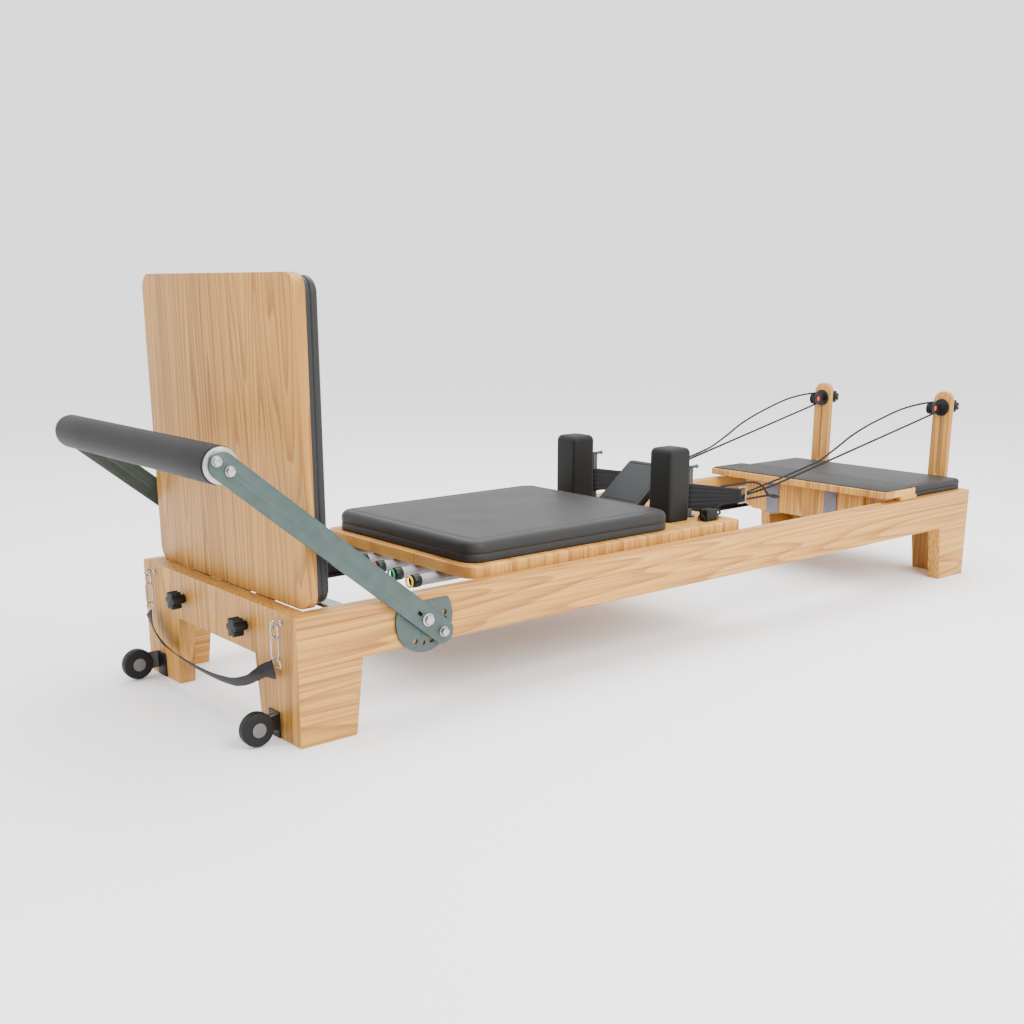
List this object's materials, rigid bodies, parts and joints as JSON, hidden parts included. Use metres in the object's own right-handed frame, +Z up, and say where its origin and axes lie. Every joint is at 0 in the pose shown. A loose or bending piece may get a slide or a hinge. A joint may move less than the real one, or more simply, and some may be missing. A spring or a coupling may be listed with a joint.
{
  "type": "pilates reformer",
  "caption": "Wooden floor-standing exercise frame with a padded sliding carriage, foot bar, jump board, rope pulleys, shoulder rests and a small end platform.",
  "frame": {"origin": "centre of the bounding box at floor level", "axes": "+X towards the head end with the rope pulleys, +Y towards the far side rail, +Z up"},
  "size_m": [2.6453, 0.7466, 0.907],
  "materials": {
    "beech_wood": "clear satin lacquer",
    "black_vinyl": "fine grained, low sheen",
    "black_foam": "matte closed-cell foam",
    "grip_mat": "matte, fine ribbed",
    "slate_metal": "satin grey-green powder coat",
    "grey_metal": "satin",
    "black_metal": "satin black powder coat",
    "zinc_steel": "zinc plated",
    "spring_steel": "bright drawn wire",
    "black_plastic": "moulded, matte",
    "red_plastic": "moulded, gloss",
    "yellow_plastic": "moulded, gloss",
    "grey_urethane": "moulded tyre",
    "black_webbing": "woven nylon",
    "black_rope": "braided"
  },
  "bodies": {
    "frame": {"side_rail_near": "beech_wood", "side_rail_far": "beech_wood", "foot_end_board": "beech_wood", "head_end_board": "beech_wood", "wheel_tracks": "black_metal", "spring_bar": "grey_metal", "index_plates": "slate_metal", "footbar_pivots": "zinc_steel", "jump_sockets": "black_metal", "riser_near": "beech_wood", "riser_far": "beech_wood", "riser_bolts": "zinc_steel", "pulley_housings": "black_plastic", "pulley_caps": "red_plastic", "platform_plank": "beech_wood", "platform_mat": "grip_mat", "platform_base": "beech_wood", "platform_straps": "slate_metal", "head_cushion": "black_vinyl", "wheel_brackets": "black_metal", "strap_hardware": "zinc_steel", "carry_strap": "black_webbing"},
    "carriage": {"carriage_deck": "beech_wood", "carriage_pad": "black_vinyl", "wheel_hangers": "black_metal", "springs": "spring_steel", "spring_caps": "black_plastic", "spring_rings": "yellow_plastic", "shoulder_rest_near": "black_vinyl", "shoulder_rest_far": "black_vinyl", "rope_posts": "zinc_steel", "rope_cleats": "black_plastic", "handles": "black_webbing", "handle_links": "zinc_steel", "rope_near": "black_rope", "rope_far": "black_rope", "headrest_hinge": "zinc_steel"},
    "headrest": {"headrest_board": "black_plastic", "headrest_pad": "black_vinyl"},
    "footbar": {"footbar_arm_near": "slate_metal", "footbar_arm_far": "slate_metal", "footbar_foam": "black_foam", "footbar_core": "zinc_steel"},
    "jump_board": {"jump_panel": "beech_wood", "jump_pad": "black_vinyl", "jump_tongues": "slate_metal"},
    "carriage_wheel_foot_near": {"carriage_wheel_foot_near": "grey_urethane"},
    "carriage_wheel_foot_far": {"carriage_wheel_foot_far": "grey_urethane"},
    "carriage_wheel_head_near": {"carriage_wheel_head_near": "grey_urethane"},
    "carriage_wheel_head_far": {"carriage_wheel_head_far": "grey_urethane"},
    "jump_knob_near": {"jump_knob_near": "black_plastic"},
    "jump_knob_far": {"jump_knob_far": "black_plastic"},
    "transport_wheel_near": {"transport_wheel_near": "grey_urethane"},
    "transport_wheel_far": {"transport_wheel_far": "grey_urethane"},
    "sheave_near": {"sheave_near": "black_plastic"},
    "riser_knob_near": {"riser_knob_near": "black_plastic"},
    "sheave_far": {"sheave_far": "black_plastic"},
    "riser_knob_far": {"riser_knob_far": "black_plastic"}
  },
  "joints": [
    {"name": "carriage_slide", "type": "slide", "parent": "frame", "child": "carriage", "axis": [1, 0, 0], "range_m": [0, 0.59], "deforming": ["rope_near", "rope_far"]},
    {"name": "headrest_tilt", "type": "hinge", "parent": "carriage", "child": "headrest", "pos_m": [0.055, 0, 0.2955], "axis": [0, 1, 0], "range_deg": [-15, 37.5]},
    {"name": "footbar_swing", "type": "hinge", "parent": "frame", "child": "footbar", "pos_m": [-0.847, 0, 0.216], "axis": [0, 1, 0], "range_deg": [-45.6, 18.5]},
    {"name": "jump_board_lift", "type": "slide", "parent": "frame", "child": "jump_board", "axis": [0, 0, 1], "range_m": [0, 0.1]},
    {"name": "carriage_wheel_foot_near_spin", "type": "hinge", "parent": "carriage", "child": "carriage_wheel_foot_near", "pos_m": [-0.587, -0.293, 0.1951], "axis": [0, 1, 0], "continuous": true},
    {"name": "carriage_wheel_foot_far_spin", "type": "hinge", "parent": "carriage", "child": "carriage_wheel_foot_far", "pos_m": [-0.587, 0.293, 0.1951], "axis": [0, 1, 0], "continuous": true},
    {"name": "carriage_wheel_head_near_spin", "type": "hinge", "parent": "carriage", "child": "carriage_wheel_head_near", "pos_m": [0.083, -0.293, 0.1951], "axis": [0, 1, 0], "continuous": true},
    {"name": "carriage_wheel_head_far_spin", "type": "hinge", "parent": "carriage", "child": "carriage_wheel_head_far", "pos_m": [0.083, 0.293, 0.1951], "axis": [0, 1, 0], "continuous": true},
    {"name": "jump_knob_near_turn", "type": "hinge", "parent": "frame", "child": "jump_knob_near", "pos_m": [-1.147, -0.143, 0.211], "axis": [1, 0, 0], "continuous": true},
    {"name": "jump_knob_far_turn", "type": "hinge", "parent": "frame", "child": "jump_knob_far", "pos_m": [-1.147, 0.143, 0.211], "axis": [1, 0, 0], "continuous": true},
    {"name": "transport_wheel_near_spin", "type": "hinge", "parent": "frame", "child": "transport_wheel_near", "pos_m": [-1.208, -0.281, 0.038], "axis": [0, 1, 0], "continuous": true},
    {"name": "transport_wheel_far_spin", "type": "hinge", "parent": "frame", "child": "transport_wheel_far", "pos_m": [-1.208, 0.283, 0.038], "axis": [0, 1, 0], "continuous": true},
    {"name": "sheave_near_spin", "type": "hinge", "parent": "frame", "child": "sheave_near", "pos_m": [1.208, -0.221, 0.512], "axis": [0, 1, 0], "continuous": true},
    {"name": "riser_knob_near_turn", "type": "hinge", "parent": "frame", "child": "riser_knob_near", "pos_m": [1.2734, -0.227, 0.512], "axis": [1, 0, 0], "continuous": true},
    {"name": "sheave_far_spin", "type": "hinge", "parent": "frame", "child": "sheave_far", "pos_m": [1.208, 0.221, 0.512], "axis": [0, 1, 0], "continuous": true},
    {"name": "riser_knob_far_turn", "type": "hinge", "parent": "frame", "child": "riser_knob_far", "pos_m": [1.2734, 0.227, 0.512], "axis": [1, 0, 0], "continuous": true}
  ],
  "couplings": [
    {"joint": "carriage_wheel_foot_near_spin", "follows": "carriage_slide", "rad_per_m": 35.714},
    {"joint": "carriage_wheel_foot_far_spin", "follows": "carriage_slide", "rad_per_m": 35.714},
    {"joint": "carriage_wheel_head_near_spin", "follows": "carriage_slide", "rad_per_m": 35.714},
    {"joint": "carriage_wheel_head_far_spin", "follows": "carriage_slide", "rad_per_m": 35.714}
  ]
}
